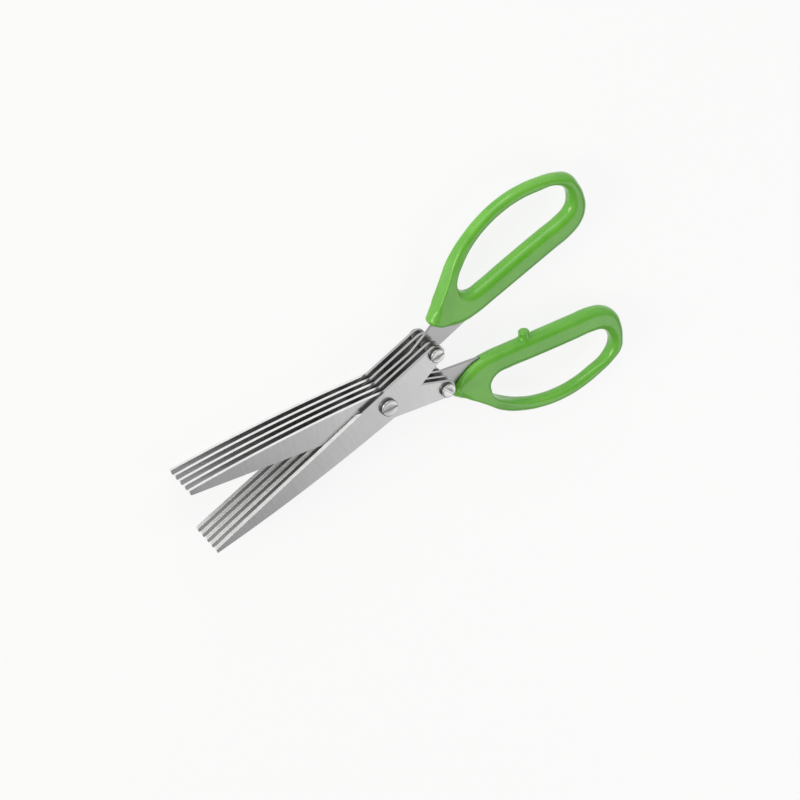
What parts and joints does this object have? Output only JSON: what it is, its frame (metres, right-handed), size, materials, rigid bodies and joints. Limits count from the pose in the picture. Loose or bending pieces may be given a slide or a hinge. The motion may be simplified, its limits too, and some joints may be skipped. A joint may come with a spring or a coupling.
{
  "type": "herb scissors",
  "caption": "Herb scissors with stacked stainless steel blade pairs on one pivot and two green moulded finger loops, for snipping soft herbs finely in one stroke.",
  "frame": {"origin": "on the pivot axis, in the plane of the pivot nut's flat underside, which is the face it lies on", "axes": "+Z along the pivot axis towards the screw heads, +X from the pivot towards the handles along the middle of the opening, +Y towards the handle that carries the upper blade set"},
  "size_m": [0.1927, 0.1078, 0.0198],
  "materials": {
    "blade_steel": "cross-brushed stainless sheet with ground cutting bevels",
    "fastener_steel": "turned and polished steel",
    "green_plastic": "glossy moulded plastic"
  },
  "bodies": {
    "half_a": {"blade_a_1": "blade_steel", "blade_a_2": "blade_steel", "tang_blade_a_3": "blade_steel", "blade_a_4": "blade_steel", "blade_a_5": "blade_steel", "handle_a": "green_plastic", "rear_screw_a": "fastener_steel", "rear_nut_a": "fastener_steel", "rear_spacer_a_1": "fastener_steel", "rear_spacer_a_2": "fastener_steel", "rear_spacer_a_3": "fastener_steel", "rear_spacer_a_4": "fastener_steel", "pivot_screw": "fastener_steel", "pivot_nut": "fastener_steel", "pivot_washer_1": "fastener_steel", "pivot_washer_2": "fastener_steel", "pivot_washer_3": "fastener_steel", "pivot_washer_4": "fastener_steel"},
    "half_b": {"blade_b_1": "blade_steel", "blade_b_2": "blade_steel", "tang_blade_b_3": "blade_steel", "blade_b_4": "blade_steel", "blade_b_5": "blade_steel", "handle_b": "green_plastic", "rear_screw_b": "fastener_steel", "rear_nut_b": "fastener_steel", "rear_spacer_b_1": "fastener_steel", "rear_spacer_b_2": "fastener_steel", "rear_spacer_b_3": "fastener_steel", "rear_spacer_b_4": "fastener_steel"}
  },
  "joints": [
    {"name": "pivot", "type": "hinge", "parent": "half_a", "child": "half_b", "pos_m": [0, 0, 0], "axis": [0, 0, 1], "range_deg": [-40, 22]}
  ]
}
